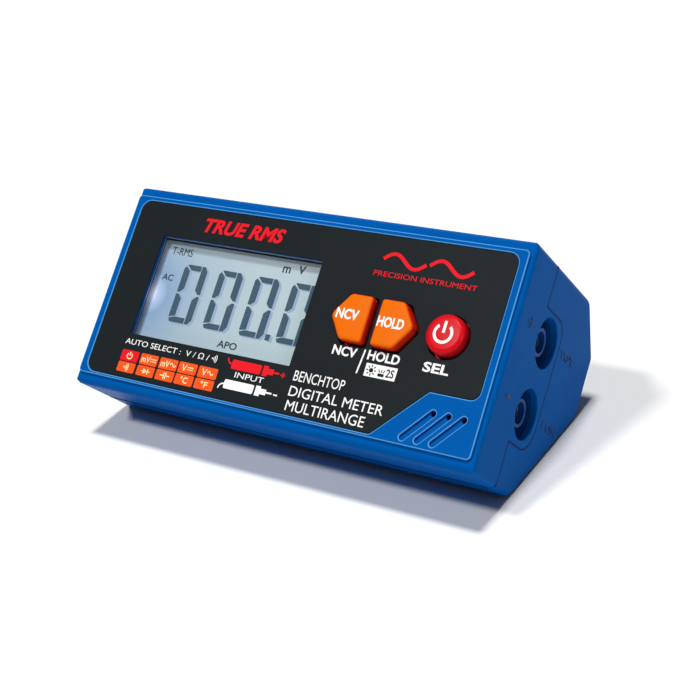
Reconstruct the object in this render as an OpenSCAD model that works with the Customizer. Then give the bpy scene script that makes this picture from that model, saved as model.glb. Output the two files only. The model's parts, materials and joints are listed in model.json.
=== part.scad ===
// Bench multimeter: a wedge-shaped two-shell case with a sloping front panel,
// a liquid crystal display, three push keys and two 4 mm safety jacks on its
// right end. Millimetres, +Z up, panel facing -Y. The origin is the centre of
// the footprint at the underside of the rubber feet.

/* [Case] */
// Width of the case, end to end
case_w = 125.4; // [124.6:0.1:127]
// Depth of the case, front to back
case_d = 70.4; // [69.8:0.1:74]
// Slope of the front panel, in degrees from the table
panel_tilt = 45; // [44.5:0.5:45.5]
// Height of the panel's lower edge above the table
panel_lift = 20.9; // [20.6:0.1:21.4]
// Thickness of the case walls
wall = 2.2; // [1.8:0.1:2.4]
// Depth of the front shell, measured square to the panel
front_shell_depth = 16.4; // [15.6:0.1:16.8]

/* [Panel] */
// Width of the raised flat panel
panel_w = 123; // [120:0.1:123.4]
// Height of the raised flat panel, along its slope
panel_h = 53.8; // [53.2:0.1:54.4]
// How far the panel stands above the rim around it
panel_rise = 0.9; // [0.6:0.1:1.1]
// Width of the display opening
window_w = 53.3; // [46:0.1:54]
// Height of the display opening, along the slope
window_h = 29.4; // [24:0.1:30]

/* [Keys] */
// How far the keys stand above the panel
key_rise = 2.0; // [1:0.1:3]
// How far a key travels when pressed
key_travel = 0.5; // [0.2:0.05:0.5]
// Free gap around a key in its opening
key_gap = 0.25; // [0.15:0.05:0.35]
// Diameter of the round select key
select_d = 11.2; // [9:0.1:12]

/* [Jacks] */
// Distance between the two jack centres
jack_pitch = 19.05; // [19:0.05:19.1]
// Bore of the metal jack sleeves
jack_bore = 4.0; // [3.9:0.05:4.2]
// Diameter of the round recess around each jack
recess_d = 13.3; // [12.6:0.1:13.4]

/* [Battery] */
// Diameter of one cell
cell_d = 10.5; // [10:0.1:10.6]
// Length of one cell
cell_len = 44.5; // [44:0.1:44.6]

/* [Feet] */
// Diameter of the rubber feet
foot_d = 9; // [6:0.5:9]
// How far the feet stand out of the base
foot_h = 0.8; // [0.6:0.1:1]

/* [Hidden] */
$fn = 48;

// Colours
case_blue = "#0054a4";
jack_blue = "#00407f";
film_black = "#22282b";
key_orange = "#f07300";
key_red = "#e10f23";
board_green = "#1d6b3a";
brass_yellow = "#c9a24a";
steel_grey = "#c4c8cc";
rubber_black = "#1a1a1a";

// Panel frame: X as the case, Y up the slope, Z out of the panel. Its origin
// is the middle of the raised panel's lower edge.
rim_n = -panel_rise;
seam_n = -front_shell_depth;
chin_u = -3;
top_u = 56.7;
back_n = -56.4;
chin_r = 2.3;
shell_gap = 0.1;
lip_len = 1.5;
overlap = 1;

// Place of the panel frame in the case, so that the case is centred front to back
panel_y = -case_d / 2 + chin_r
    - (chin_u + chin_r) * cos(panel_tilt) + (rim_n - chin_r) * sin(panel_tilt);
rear_run = case_d / 2 - panel_y;
base_drop = foot_h - panel_lift;

// Corners of the case's end outline, where its straight sides meet
outline = [
    [chin_u, rim_n],
    [chin_u, (base_drop - chin_u * sin(panel_tilt)) / cos(panel_tilt)],
    [(base_drop - back_n * cos(panel_tilt)) / sin(panel_tilt), back_n],
    [(rear_run + back_n * sin(panel_tilt)) / cos(panel_tilt), back_n],
    [top_u, (top_u * cos(panel_tilt) - rear_run) / sin(panel_tilt)],
    [top_u, rim_n]
];
outline_r = [chin_r, 1.2, 3, 1.5, 1.5, 1.8];
edge_r = 1.7;
panel_corner_r = 1.2;
least_r = 0.4;

// Film on the panel
film_t = 0.4;
film_top = -0.1;
film_pocket = 0.5;
film_gap = 0.15;
film_outline = [[-59.3, 0.8], [33.4, 0.8], [46.2, 14.3], [59.4, 14.3], [59.4, 52.5], [-59.3, 52.5]];
film_r = [3, 1.5, 0.4, 2.4, 2.8, 3];

// Display stack, from the window down to the board
window_c = [-21.65, 28.2];
lens_top = -1.5;
lens_t = 1;
lens_border = 1.6;
lcd_top = -3.3;
lcd_t = 2;
lcd_size = [58, 37];
lcd_rim = 1.5;
light_size = [53.4, 28.4];
light_top = -5.6;
light_t = 3;
strip_size = [51.5, 1.8];
strip_u = 16.6;
board_top = -9.9;
board_t = 1.6;
board_back = board_top - board_t;
board_size = [116, 51];
board_u = 1.7;

// Keys
key_mid = [26, 28.55];
key_split = 1.1;
key_half_len = 12.5;
key_half_h = 6.45;
key_point = 4.1;
select_c = [46.8, 28.6];
key_flange = 1.2;
flange_t = 1.05;
flange_top = -3.35;
stem_r = 2.2;
stem_end = -6;
plunger_r = 1.75;
plunger_end = -8.6;
switch_top = -6.9;
switch_w = 6;
plunger_play = 0.15;
key_centres = [[19.8, 28.55], [32.2, 28.55], select_c];

// Sound slots
slot_from = [42.45, 1.95];
slot_to = [48.7, 9.2];
slot_step = 4.2;
slot_r = 0.85;
slot_depth = 0.8;
slot_hole_r = 0.75;

// Screws and their posts, in the panel frame
case_posts = [[-55.8, 4.2], [55.8, 4.2], [-55.8, 50.2], [55.8, 50.2]];
post_r = 3.1;
post_end = -17.9;
pilot_r = 1.4;
screw_r = 1.35;
well_r = 4.2;
head_bore_r = 3.1;
head_seat = -20;
head_r = 2.6;
board_posts = [[-55.8, 27], [12.5, 48.5], [12.5, 5.5], [56.2, 27]];
board_post_r = 2.1;
board_pilot_r = 0.95;
board_screw_r = 0.9;

// Jacks, on the right end
jack_u = 27.6;
jack_n = -22.3;
shroud_r = 8;
shroud_in_r = recess_d / 2 + 0.1;
boss_r = 3.85;
boss_drop = 1.8;
sleeve_r = 2.75;
sleeve_drop = 1.5;
sleeve_gap = 0.05;
shroud_floor = 1.6;
shroud_depth = 22.6;
tail_r = 1.5;
shroud_x = case_w / 2 - shroud_depth;
jack_board_t = 1.6;
island = [[9.5, seam_n + overlap], [9.5, -31], [45, -31], [45, seam_n + overlap]];
island_r = [0.5, 7, 4.8, 0.5];
tongue_reach = 0.3;

// Feet, in the case frame
foot_places = [[-44, -12], [44, -12], [-52, 18], [52, 18]];

// Battery bay, in the case frame, open through the rear face
bay_z = 19.4;
bay_half = 47.6;
bay_r = cell_d / 2 + 0.45;
bay_wall = 1.4;
cover_t = 2;
cover_w = 97;
cover_z = [12.5, 30];
cover_gap = 0.2;
cell_y = case_d / 2 - cover_t - 0.3 - cell_d / 2;
cover_screw_z = 27.7;
cover_boss_r = 2.3;
nub_r = 1.9;
nub_h = 0.8;
contact_t = 0.4;
contact_w = 9;
row_end = bay_half - 2 * contact_t - 0.05;
tab_w = 3.6;
tab_out = 1.6;
lead_r = 0.6;

function unit(v) = v / norm(v);
function left_of(v) = [-v[1], v[0]];

// Outline moved inwards by d (outwards if d is negative), corners kept sharp
function inset(pts, d) = [
    for (i = [0 : len(pts) - 1])
        let (
            a = pts[(i + len(pts) - 1) % len(pts)],
            b = pts[(i + 1) % len(pts)],
            m = left_of(unit(pts[i] - a)),
            k = left_of(unit(b - pts[i]))
        )
        pts[i] + d * (m + k) / (1 + m * k)
];

// Points of the round at corner p between neighbours a and b
function corner(a, p, b, r, steps) =
    let (
        v = unit(a - p),
        w = unit(b - p),
        half = acos(v * w) / 2,
        c = p + unit(v + w) * r / sin(half),
        s = unit(p + v * r / tan(half) - c),
        e = unit(p + w * r / tan(half) - c),
        sweep = 180 - 2 * half
    )
    [for (i = [0 : steps]) c + r * (s * sin(sweep * (1 - i / steps)) + e * sin(sweep * i / steps)) / sin(sweep)];

function rounded(pts, radii, steps = 5) = [
    for (i = [0 : len(pts) - 1])
        each corner(pts[(i + len(pts) - 1) % len(pts)], pts[i], pts[(i + 1) % len(pts)], radii[i], steps)
];

function box_corners(w, low, high) = [[-w / 2, high], [-w / 2, low], [w / 2, low], [w / 2, high]];

function smaller(radii, d) = [for (r = radii) max(r - d, least_r)];

// A key's outline: a house shape whose point is at the left or right (side -1 or 1)
function key_outline(side) =
    let (
        flat = key_mid[0] + side * key_split,
        shoulder = key_mid[0] + side * (key_half_len - key_point),
        tip = key_mid[0] + side * key_half_len,
        low = key_mid[1] - key_half_h,
        high = key_mid[1] + key_half_h
    )
    side > 0
        ? [[flat, low], [shoulder, low], [tip, key_mid[1]], [shoulder, high], [flat, high]]
        : [[flat, high], [shoulder, high], [tip, key_mid[1]], [shoulder, low], [flat, low]];

key_r = [0.9, 1.6, 1.8, 1.6, 0.9];

module on_panel() {
    translate([0, panel_y, panel_lift]) rotate([panel_tilt, 0, 0]) children();
}

// Extrudes an outline of (Y, Z) points along X, from x0 to x1
module along_x(x0, x1) {
    translate([x0, 0, 0]) rotate([90, 0, 90]) linear_extrude(x1 - x0) children();
}

// Extrudes an outline of (X, Y) points along Z, from low to high
module along_n(low, high) {
    translate([0, 0, low]) linear_extrude(high - low) children();
}

module peg(at, r, low, high) {
    translate([at[0], at[1], low]) cylinder(r = r, h = high - low);
}

module plate(c, size, low, high) {
    translate([c[0] - size[0] / 2, c[1] - size[1] / 2, low]) cube([size[0], size[1], high - low]);
}

// The whole outer body, shrunk by d on every side
module case_body(d) {
    half_w = case_w / 2 - d;
    intersection() {
        along_x(-half_w, half_w) polygon(rounded(inset(outline, d), smaller(outline_r, d)));
        translate([0, top_u, 0]) rotate([90, 0, 0]) linear_extrude(top_u - chin_u)
            polygon(rounded(box_corners(2 * half_w, back_n + d, rim_n - d), smaller([for (i = [1:4]) edge_r], d)));
        along_n(back_n, rim_n)
            polygon(rounded(box_corners(2 * half_w, chin_u + d, top_u - d), smaller([for (i = [1:4]) edge_r], d)));
    }
}

// Space ahead of the seam, with the tongue that carries the jacks. Grown by g.
module front_zone(g) {
    reach = case_w;
    translate([-reach / 2, chin_u - overlap, seam_n - g])
        cube([reach, top_u - chin_u + 2 * overlap, -seam_n + g]);
    along_x(case_w / 2 - wall - tongue_reach, case_w / 2 + overlap) polygon(rounded(inset(island, -g), island_r));
}

module sound_slot(i) {
    run = norm(slot_to - slot_from);
    lean = atan2(slot_to[1] - slot_from[1], slot_to[0] - slot_from[0]);
    half = slot_r * [1, 1];
    corners = [-half, [run, 0] - [-slot_r, slot_r], [run, 0] + half, [-slot_r, slot_r]];
    translate([slot_from[0] + i * slot_step, slot_from[1], 0]) rotate([0, 0, lean]) {
        along_n(-slot_depth, overlap) polygon(rounded(corners, [for (c = corners) 0.96 * slot_r]));
        peg([run, 0], slot_hole_r, -2 * wall, 0);
    }
}

// Points along the axes of the two jacks; k is 0 for the upper one
function jack_at(k) = [jack_u + (0.5 - k) * jack_pitch, jack_n];

module jack_axis(k, r, x0, x1) {
    translate([x0, jack_at(k)[0], jack_at(k)[1]]) rotate([0, 90, 0]) cylinder(r = r, h = x1 - x0);
}

module front_casing() {
    lens_hole = [window_w, window_h];
    color(case_blue) on_panel() difference() {
        union() {
            difference() {
                union() {
                    intersection() {
                        case_body(0);
                        front_zone(0);
                    }
                    // Lip that enters the rear shell
                    intersection() {
                        case_body(wall / 2 + shell_gap);
                        translate([-case_w / 2, chin_u, seam_n - lip_len])
                            cube([case_w - 2 * wall - overlap, top_u - chin_u, lip_len + overlap]);
                    }
                }
                case_body(wall);
            }
            along_n(rim_n - overlap, 0)
                polygon(rounded(box_corners(panel_w, 0, panel_h), [for (i = [1:4]) panel_corner_r]));
            for (p = case_posts) peg(p, post_r, post_end, rim_n - overlap);
            for (p = board_posts) peg(p, board_post_r, board_top, rim_n - overlap);
        }
        along_n(-film_pocket, overlap) polygon(rounded(film_outline, film_r));
        plate(window_c, lens_hole, -2 * wall, overlap);
        plate(window_c, lens_hole + 2 * lens_border * [1, 1], rim_n - wall - overlap, lens_top);
        for (side = [-1, 1])
            along_n(-2 * wall, overlap) polygon(rounded(inset(key_outline(side), -key_gap), key_r));
        peg(select_c, select_d / 2 + key_gap, -2 * wall, overlap);
        for (i = [0 : 2]) sound_slot(i);
        for (k = [0, 1]) jack_axis(k, recess_d / 2, case_w / 2 - 2 * wall, case_w / 2 + overlap);
        for (p = case_posts) peg(p, pilot_r, post_end - overlap, -6);
        for (p = board_posts) peg(p, board_pilot_r, board_top - overlap, -4);
    }
}

module rear_casing() {
    bay_floor_y = cell_y - bay_r - bay_wall;
    color(case_blue) difference() {
        union() {
            on_panel() difference() {
                union() {
                    difference() {
                        case_body(0);
                        case_body(wall);
                    }
                    intersection() {
                        case_body(0);
                        for (p = case_posts) peg(p, well_r, back_n, post_end - shell_gap);
                    }
                }
                front_zone(shell_gap);
                // Rebate for the front shell's lip
                intersection() {
                    case_body(wall / 2);
                    translate([-case_w, chin_u, seam_n - lip_len - 0.2])
                        cube([2 * case_w, top_u - chin_u, lip_len + overlap]);
                }
                for (p = case_posts) {
                    peg(p, head_bore_r, back_n - overlap, head_seat);
                    peg(p, screw_r + 0.2, back_n, 0);
                }
            }
            // Trough for the cells, with the cover screw's boss above it
            translate([-bay_half - bay_wall, bay_floor_y, bay_z - bay_r - bay_wall])
                cube([2 * (bay_half + bay_wall), case_d / 2 - bay_floor_y - wall / 2, 2 * (bay_r + bay_wall)]);
            translate([0, case_d / 2 - wall / 2, cover_screw_z]) rotate([90, 0, 0])
                cylinder(r = cover_boss_r, h = 9);
        }
        translate([-bay_half, bay_floor_y + bay_wall, bay_z - bay_r])
            cube([2 * bay_half, case_d, 2 * bay_r]);
        // Seat of the battery cover
        translate([-cover_w / 2 - cover_gap, case_d / 2 - cover_t, cover_z[0] - cover_gap])
            cube([cover_w + 2 * cover_gap, case_d, cover_z[1] - cover_z[0] + 2 * cover_gap]);
        // Pockets for the cover's two tongues
        for (x = [-30, 30]) translate([x - 4.2, case_d / 2 - cover_t - 1.5, cover_z[0] - 1.2])
            cube([8.4, 3, 2.4]);
        translate([0, case_d / 2 + overlap, cover_screw_z]) rotate([90, 0, 0])
            cylinder(r = board_pilot_r, h = 11);
        // Slots that the cell contacts pass through
        for (s = [-1, 1])
            translate([s * (bay_half - 1.5 * contact_t) - contact_t, bay_floor_y - overlap, bay_z - tab_w / 2 - 0.2])
                cube([2 * contact_t, bay_wall + 2 * overlap, tab_w + 0.4]);
        for (p = foot_places) translate([p[0], p[1], 0]) cylinder(r = foot_d / 2 + 0.1, h = 2 * foot_h + 0.1);
    }
}

module rubber_feet() {
    color(rubber_black) for (p = foot_places) translate([p[0], p[1], 0]) cylinder(r = foot_d / 2, h = 2 * foot_h);
}

module front_overlay() {
    color(film_black) on_panel() difference() {
        along_n(film_top - film_t, film_top) polygon(rounded(inset(film_outline, film_gap), film_r));
        plate(window_c, [window_w, window_h], -overlap, overlap);
        for (side = [-1, 1])
            along_n(-overlap, overlap) polygon(rounded(inset(key_outline(side), -key_gap), key_r));
        peg(select_c, select_d / 2 + key_gap, -overlap, overlap);
    }
}

module display_window() {
    border = 2 * (lens_border - film_gap) * [1, 1];
    color("#dfe8ee", 0.4) on_panel()
        plate(window_c, [window_w, window_h] + border, lens_top - lens_t, lens_top);
}

module lcd_glass() {
    color("#b9c9d3") on_panel() plate(window_c, lcd_size, lcd_top - lcd_t, lcd_top);
}

module lcd_frame() {
    play = 0.4;
    ledge = lcd_top - lcd_t - 0.05;
    frame_size = lcd_size + (2 * lcd_rim + play) * [1, 1];
    color("#eef0f0") on_panel() difference() {
        plate(window_c, frame_size, board_top, lcd_top - 0.15);
        plate(window_c, lcd_size + play * [1, 1], ledge, overlap);
        plate(window_c, light_size + play * [1, 1], board_top - overlap, overlap);
        for (s = [-1, 1])
            plate(window_c + [0, s * strip_u], strip_size + play * [1, 1], board_top - overlap, overlap);
    }
}

module backlight_panel() {
    color("#f4f7fa") on_panel() plate(window_c, light_size, light_top - light_t, light_top);
}

module contact_strips() {
    color("#e59aa0") on_panel() for (s = [-1, 1])
        plate(window_c + [0, s * strip_u], strip_size, board_top + 0.05, lcd_top - lcd_t - 0.05);
}

module main_board() {
    color(board_green) on_panel() difference() {
        plate([0, board_u + board_size[1] / 2], board_size, board_back, board_top);
        for (p = case_posts) peg(p, post_r + 0.6, board_back - overlap, board_top + overlap);
        for (p = board_posts) peg(p, board_screw_r + 0.2, board_back - overlap, board_top + overlap);
    }
}

module key_stem(at) {
    peg(at, stem_r, stem_end, flange_top - flange_t / 2);
}

module house_key(side) {
    pts = key_outline(side);
    along_n(flange_top - flange_t / 2, key_rise) polygon(rounded(pts, key_r));
    along_n(flange_top - flange_t, flange_top) polygon(rounded(inset(pts, -key_flange * 0.8), key_r));
}

module ncv_key() {
    color(key_orange) on_panel() union() {
        house_key(-1);
        key_stem(key_centres[0]);
    }
}

module hold_key() {
    color(key_orange) on_panel() union() {
        house_key(1);
        key_stem(key_centres[1]);
    }
}

module select_key() {
    color(key_red) on_panel() union() {
        peg(select_c, select_d / 2, flange_top - flange_t / 2, key_rise);
        peg(select_c, select_d / 2 + key_flange, flange_top - flange_t, flange_top);
        key_stem(select_c);
    }
}

module key_plunger(i) {
    color("#3a3f45") on_panel() peg(key_centres[i], plunger_r, plunger_end, stem_end - 0.05);
}

module ncv_plunger() {
    key_plunger(0);
}

module hold_plunger() {
    key_plunger(1);
}

module select_plunger() {
    key_plunger(2);
}

module tact_switches() {
    color("#2b2e33") on_panel() for (c = key_centres) difference() {
        plate(c, switch_w * [1, 1], board_top, switch_top);
        peg(c, plunger_r + plunger_play, plunger_end - key_travel - 0.2, switch_top + overlap);
    }
}

module jack_shroud(k) {
    floor_x = shroud_x + shroud_floor;
    color(jack_blue) on_panel() difference() {
        union() {
            difference() {
                jack_axis(k, shroud_r, shroud_x, case_w / 2 - wall - shell_gap);
                jack_axis(k, shroud_in_r, floor_x, case_w);
            }
            jack_axis(k, boss_r, shroud_x, case_w / 2 - boss_drop);
        }
        jack_axis(k, sleeve_r + sleeve_gap, floor_x, case_w);
        jack_axis(k, tail_r + sleeve_gap, shroud_x - overlap, case_w);
    }
}

module positive_jack_shroud() {
    jack_shroud(0);
}

module common_jack_shroud() {
    jack_shroud(1);
}

module jack_sleeve(k) {
    mouth = case_w / 2 - boss_drop - sleeve_drop;
    back = shroud_x + shroud_floor;
    color(brass_yellow) on_panel() difference() {
        union() {
            jack_axis(k, sleeve_r, back, mouth);
            jack_axis(k, tail_r, shroud_x - jack_board_t - 3, back + overlap);
        }
        jack_axis(k, jack_bore / 2, back + 1.2, case_w);
    }
}

module positive_jack_sleeve() {
    jack_sleeve(0);
}

module common_jack_sleeve() {
    jack_sleeve(1);
}

module jack_nuts() {
    nut_h = 2;
    nut_x = shroud_x - jack_board_t - 0.15 - nut_h;
    color(brass_yellow) on_panel() for (k = [0, 1]) difference() {
        translate([nut_x, jack_at(k)[0], jack_at(k)[1]]) rotate([0, 90, 0]) cylinder(r = 3.1, h = nut_h, $fn = 6);
        jack_axis(k, tail_r + sleeve_gap, nut_x - overlap, nut_x + nut_h + overlap);
    }
}

module jack_board() {
    low_u = jack_u - jack_pitch / 2 - 7.5;
    high_u = jack_u + jack_pitch / 2 + 7.5;
    front_x = shroud_x - 0.1;
    color(board_green) on_panel() difference() {
        translate([front_x - jack_board_t, low_u, jack_n - 7])
            cube([jack_board_t, high_u - low_u, board_back - 2 - jack_n + 7]);
        for (k = [0, 1]) jack_axis(k, tail_r + 0.2, front_x - jack_board_t - overlap, front_x + overlap);
    }
}

module board_link() {
    link_x = shroud_x - jack_board_t - 0.3;
    strip_h = 1.9;
    pins = 8;
    pin_w = 0.64;
    pin_step = 2.54;
    color("#26282b") on_panel() union() {
        translate([link_x - 1.2, jack_u - pins * pin_step / 2, board_back - strip_h])
            cube([2.5, pins * pin_step, strip_h]);
        for (i = [0 : pins - 1])
            translate([link_x - pin_w - 0.05, jack_u + (i - pins / 2 + 0.5) * pin_step - pin_w / 2, board_back - 5.4])
                cube([pin_w, pin_w, 4]);
    }
}

module buzzer() {
    at = [47.6, 11];
    buzzer_r = 5.6;
    color(rubber_black) on_panel() difference() {
        peg(at, buzzer_r, board_top, board_top + 5);
        peg(at, 1, board_top + 3, board_top + 6);
    }
}

module meter_chip() {
    body = 12;
    legs = 12;
    leg_step = 0.8;
    leg_len = 1.5;
    at = [-12, 30];
    color("#222426") on_panel() union() {
        plate(at, body * [1, 1], board_back - 1.5, board_back - 0.15);
        for (side = [0 : 3], i = [0 : legs - 1])
            translate([at[0], at[1], 0]) rotate([0, 0, 90 * side])
                plate([(i - (legs - 1) / 2) * leg_step, (body + leg_len) / 2 - 0.3], [0.35, leg_len],
                    board_back - 0.5, board_back);
    }
}

module crystal() {
    at = [-26, 24];
    color(steel_grey) on_panel() for (s = [-1, 1]) {
        peg(at + [s * 3, 0], 1.9, board_back - 3.2, board_back);
    }
    color(steel_grey) on_panel() plate(at, [6, 3.8], board_back - 3.2, board_back);
}

module ptc_thermistor() {
    at = [22, 40];
    color("#d9b13b") on_panel() union() {
        translate([at[0] - 1.5, at[1], board_back - 6.2]) rotate([0, 90, 0]) cylinder(r = 4.2, h = 3);
        for (s = [-1, 1]) peg(at + [0, s * 2.5], 0.35, board_back - 4, board_back);
    }
}

module input_resistors() {
    color("#5b86b5") on_panel() for (i = [0 : 2]) {
        u = 12 + i * 4.5;
        translate([14, u, board_back - 1.7]) rotate([0, 90, 0]) cylinder(r = 1.3, h = 7);
    }
    color(steel_grey) on_panel() for (i = [0 : 2], x = [12, 21]) {
        u = 12 + i * 4.5;
        translate([x, u, board_back - 1.7]) rotate([0, 90, 0]) cylinder(r = 0.3, h = 2);
    }
}

module filter_capacitor() {
    at = [-38, 14];
    color("#2f3f63") on_panel() peg(at, 3.1, board_back - 8, board_back);
}

module ncv_antenna() {
    color(brass_yellow) on_panel() union() {
        plate([30, 49.4], [16, 0.5], board_top, board_top + 5.5);
        plate([30, 48.4], [16, 2.4], board_top + 5.1, board_top + 5.5);
    }
}

module cell(x0) {
    rings = cell_len - nub_h;
    color("#3b3e44") translate([x0, cell_y, bay_z]) rotate([0, 90, 0]) union() {
        cylinder(r = cell_d / 2, h = rings);
        cylinder(r = nub_r, h = cell_len);
    }
}

module battery_1() {
    cell(row_end - 2 * cell_len - 0.05);
}

module battery_2() {
    cell(row_end - cell_len);
}

// Flat contact at one end of the bay with its tab through the floor; s is -1 or 1
module cell_contact(s) {
    mid = s * (bay_half - 1.5 * contact_t);
    floor_y = cell_y - bay_r - bay_wall;
    union() {
        translate([mid - contact_t / 2, cell_y - contact_w / 2, bay_z - contact_w / 2])
            cube([contact_t, contact_w, contact_w]);
        translate([mid - contact_t / 2, floor_y - tab_out, bay_z - tab_w / 2])
            cube([contact_t, tab_out + contact_w, tab_w]);
    }
}

module battery_plate() {
    color(steel_grey) cell_contact(1);
}

// The coil is a stack of rings that narrow towards the cell
module battery_spring() {
    wire_r = 0.3;
    coils = 5;
    first_r = 3.6;
    shrink = 0.35;
    room = row_end - 2 * cell_len - 0.1 + bay_half - 2 * contact_t;
    pitch = (room - 2 * wire_r - 0.1) / (coils - 1);
    color(steel_grey) {
        cell_contact(-1);
        for (i = [0 : coils - 1])
            translate([-bay_half + 2 * contact_t + 0.05 + wire_r + i * pitch, cell_y, bay_z]) rotate([0, 90, 0])
                rotate_extrude() translate([first_r - i * shrink, 0]) circle(r = wire_r, $fn = 16);
    }
}

// A round wire through the given points of the panel frame
module wire(points) {
    on_panel() union() {
        for (i = [0 : len(points) - 2]) {
            d = points[i + 1] - points[i];
            translate(points[i]) rotate([0, acos(d[2] / norm(d)), atan2(d[1], d[0])])
                cylinder(r = lead_r, h = norm(d), $fn = 16);
        }
        for (i = [1 : len(points) - 2]) translate(points[i]) sphere(r = 1.15 * lead_r, $fn = 16);
    }
}

// End of a contact's tab, in the panel frame; s is -1 or 1
function tab_end(s) =
    let (
        y = cell_y - bay_r - bay_wall - tab_out / 2 - panel_y,
        z = bay_z - panel_lift
    )
    [s * (row_end - lead_r - 0.1), y * cos(panel_tilt) + z * sin(panel_tilt), z * cos(panel_tilt) - y * sin(panel_tilt)];

module battery_lead_red() {
    color(key_red) wire([tab_end(1), [36, 38, -37], [34, 46, -24], [34, 46, board_back - 0.1]]);
}

module battery_lead_black() {
    color(rubber_black) wire([tab_end(-1), [-40, 38, -37], [-36, 46, -24], [-36, 46, board_back - 0.1]]);
}

module battery_cover() {
    color(case_blue) difference() {
        union() {
            translate([-cover_w / 2, case_d / 2 - cover_t + 0.05, cover_z[0]])
                cube([cover_w, cover_t - 0.05, cover_z[1] - cover_z[0]]);
            for (x = [-30, 30]) translate([x - 4, case_d / 2 - cover_t - 1.2, cover_z[0] + 0.2])
                cube([8, 1.6, 1]);
            // Grip ribs
            for (i = [-3 : 3]) translate([i * 2.4 - 30, case_d / 2 - 0.5, bay_z - 4]) cube([1, 0.5, 8]);
        }
        translate([0, case_d / 2 + overlap, cover_screw_z]) rotate([90, 0, 0]) cylinder(r = 1.2, h = 6);
        translate([0, case_d / 2 + overlap, cover_screw_z]) rotate([90, 0, 0]) cylinder(r = 2.1, h = 2.1);
    }
}

// A pan-head screw that points along +Z, its head's underside at z = 0
module screw(shank_r, len, head_r, head_h) {
    slot = 0.25 * head_r;
    difference() {
        union() {
            translate([0, 0, -head_h / 2]) cylinder(r = shank_r, h = len + head_h / 2);
            translate([0, 0, -head_h]) cylinder(r = head_r, h = head_h);
        }
        for (turn = [0, 90]) rotate([0, 0, turn])
            translate([-0.7 * head_r, -slot / 2, -head_h - overlap]) cube([1.4 * head_r, slot, overlap + 0.6 * head_h]);
    }
}

module battery_cover_screw() {
    color(steel_grey) translate([0, case_d / 2 - 1.05, cover_screw_z]) rotate([90, 0, 0])
        screw(0.85, 7, 1.95, 0.95);
}

module case_screws() {
    color(steel_grey) on_panel() for (p = case_posts) translate([p[0], p[1], head_seat - 0.05])
        screw(screw_r, 13, head_r, 2);
}

module board_screws() {
    color(steel_grey) on_panel() for (p = board_posts) translate([p[0], p[1], board_back - 0.05])
        screw(board_screw_r, 6.4, 1.8, 1.3);
}

front_casing();
rear_casing();
front_overlay();
display_window();
lcd_glass();
lcd_frame();
backlight_panel();
contact_strips();
main_board();
ncv_key();
hold_key();
select_key();
ncv_plunger();
hold_plunger();
select_plunger();
tact_switches();
positive_jack_shroud();
common_jack_shroud();
positive_jack_sleeve();
common_jack_sleeve();
jack_nuts();
jack_board();
board_link();
buzzer();
meter_chip();
crystal();
ptc_thermistor();
input_resistors();
filter_capacitor();
ncv_antenna();
battery_1();
battery_2();
battery_spring();
battery_plate();
battery_lead_red();
battery_lead_black();
battery_cover();
battery_cover_screw();
case_screws();
board_screws();
rubber_feet();
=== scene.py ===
import json
from math import cos, pi, radians, sin, tan

import bmesh
import bpy
from bpy.props import FloatProperty, FloatVectorProperty, IntProperty, PointerProperty
from mathutils import Matrix, Quaternion, Vector


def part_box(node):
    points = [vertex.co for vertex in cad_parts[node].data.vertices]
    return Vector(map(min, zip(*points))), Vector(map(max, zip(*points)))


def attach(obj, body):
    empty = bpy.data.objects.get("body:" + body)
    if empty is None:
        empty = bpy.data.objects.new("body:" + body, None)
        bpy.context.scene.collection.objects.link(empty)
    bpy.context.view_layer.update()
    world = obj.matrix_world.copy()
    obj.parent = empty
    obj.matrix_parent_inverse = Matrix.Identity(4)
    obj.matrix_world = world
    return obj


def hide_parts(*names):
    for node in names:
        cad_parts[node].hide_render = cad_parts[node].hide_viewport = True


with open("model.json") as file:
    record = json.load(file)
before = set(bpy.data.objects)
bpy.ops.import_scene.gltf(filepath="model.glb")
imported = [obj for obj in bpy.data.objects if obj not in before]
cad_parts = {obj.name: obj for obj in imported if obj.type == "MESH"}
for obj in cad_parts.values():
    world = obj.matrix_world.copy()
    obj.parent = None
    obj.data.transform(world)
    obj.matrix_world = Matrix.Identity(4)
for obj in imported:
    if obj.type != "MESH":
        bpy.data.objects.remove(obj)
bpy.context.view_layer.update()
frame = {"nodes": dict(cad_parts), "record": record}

bl_info = {
    "name": "Bench multimeter",
    "version": (1, 0, 0),
    "blender": (4, 5, 0),
    "location": "View3D > Sidebar > Multimeter",
    "description": "Case, film, display, keys, jacks and insides of a bench multimeter",
    "category": "Object",
}

CASE_BODY = "case"
MM = 0.001
TURN = 2 * pi

# The panel frame: X along the case, Y up the slope, Z out of the panel, in millimetres.
# Its origin is the middle of the raised panel's lower edge, found from the two jacks.
JACK_UP = 27.6
JACK_DEEP = 22.3
MOUNTS = {mount["name"]: Vector(mount["pos_m"]) for mount in frame["record"]["mounts"]}
UPPER_JACK = MOUNTS["positive_jack"]
LOWER_JACK = MOUNTS["common_jack"]
JACK_PITCH = (UPPER_JACK - LOWER_JACK).length / MM
ALONG = Vector((1, 0, 0))
UP_SLOPE = (UPPER_JACK - LOWER_JACK).normalized()
OUTWARD = ALONG.cross(UP_SLOPE)


def frame_matrix(x_axis, y_axis, z_axis, origin):
    """Matrix from millimetres along three axes to metres in the case's frame"""
    columns = Matrix((x_axis, y_axis, z_axis)).transposed().to_4x4()
    return Matrix.Translation(origin) @ columns @ Matrix.Scale(MM, 4)


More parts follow.
